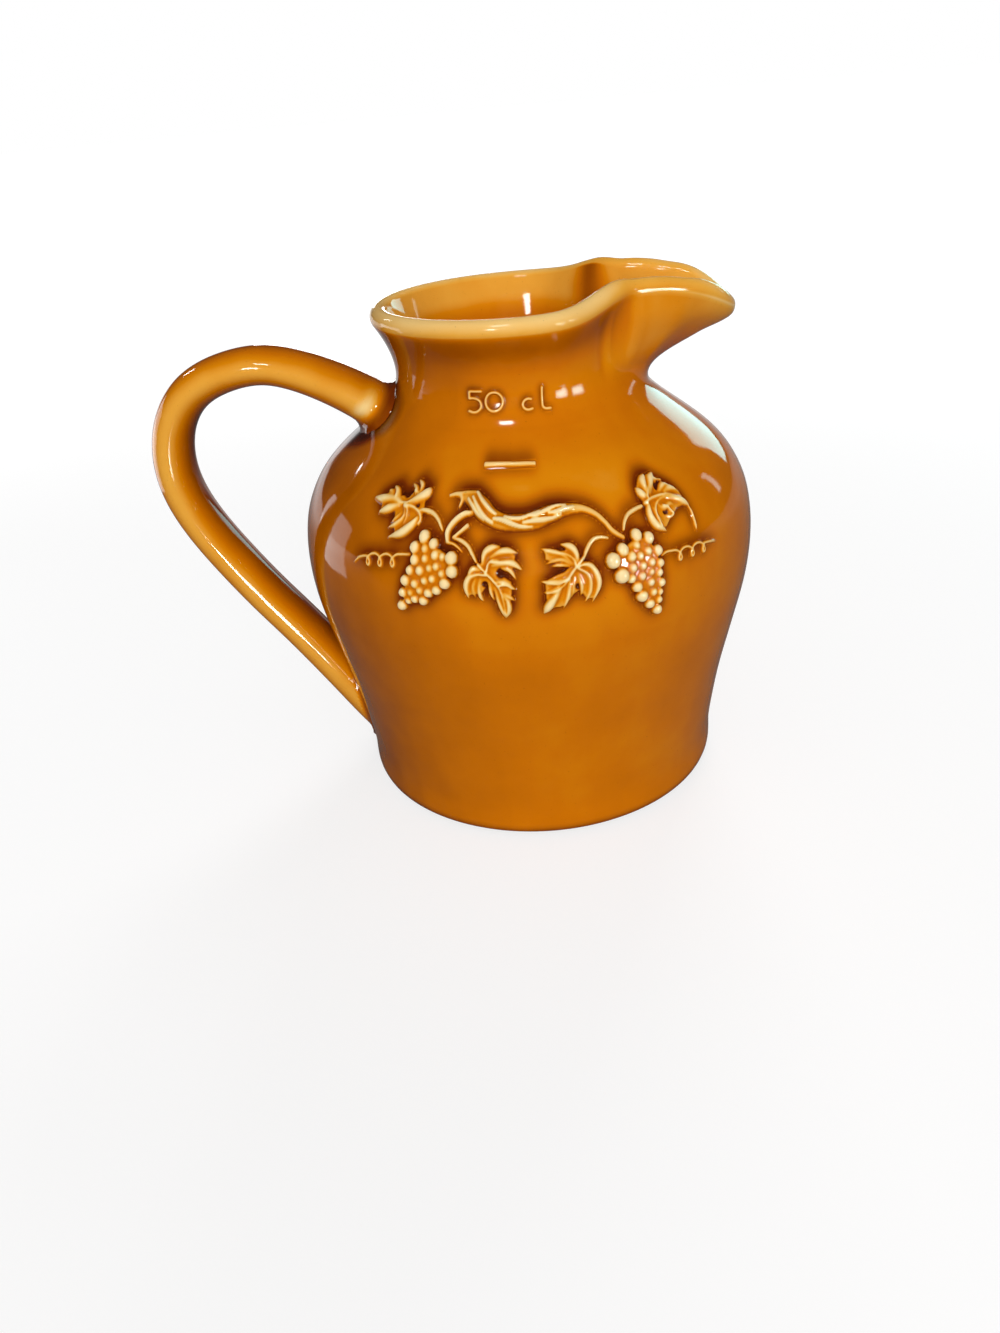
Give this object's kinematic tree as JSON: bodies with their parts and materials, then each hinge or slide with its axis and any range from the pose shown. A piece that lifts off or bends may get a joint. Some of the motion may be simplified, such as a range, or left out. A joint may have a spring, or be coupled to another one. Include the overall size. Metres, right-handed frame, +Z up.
{
  "type": "half-litre pouring jug",
  "caption": "Round-bellied glazed stoneware pouring jug with a short neck, pinched spout, loop handle and a grapevine in low relief below a fill line.",
  "frame": {"origin": "on the plane the jug stands on, in the plane of the handle and spout, halfway between the outside of the handle and the front of the belly; the body's own axis is 16.7 mm from it along +X", "axes": "+Z up, +X towards the spout, -X towards the handle, -Y out of the face with the vine"},
  "size_m": [0.1386, 0.1062, 0.1167],
  "materials": {
    "amber_glaze": "gloss",
    "relief_glaze": "gloss"
  },
  "bodies": {
    "root": {"jug_body": "amber_glaze", "handle": "amber_glaze", "vine_branch": "relief_glaze", "left_twig": "relief_glaze", "upper_left_stem": "relief_glaze", "lower_left_stem": "relief_glaze", "upper_right_stem": "relief_glaze", "lower_right_stem": "relief_glaze", "upper_left_leaf": "relief_glaze", "lower_left_leaf": "relief_glaze", "upper_right_leaf": "relief_glaze", "lower_right_leaf": "relief_glaze", "left_bunch": "relief_glaze", "right_bunch": "relief_glaze", "left_tendril": "relief_glaze", "right_tendril": "relief_glaze", "fill_line": "relief_glaze"}
  },
  "joints": []
}
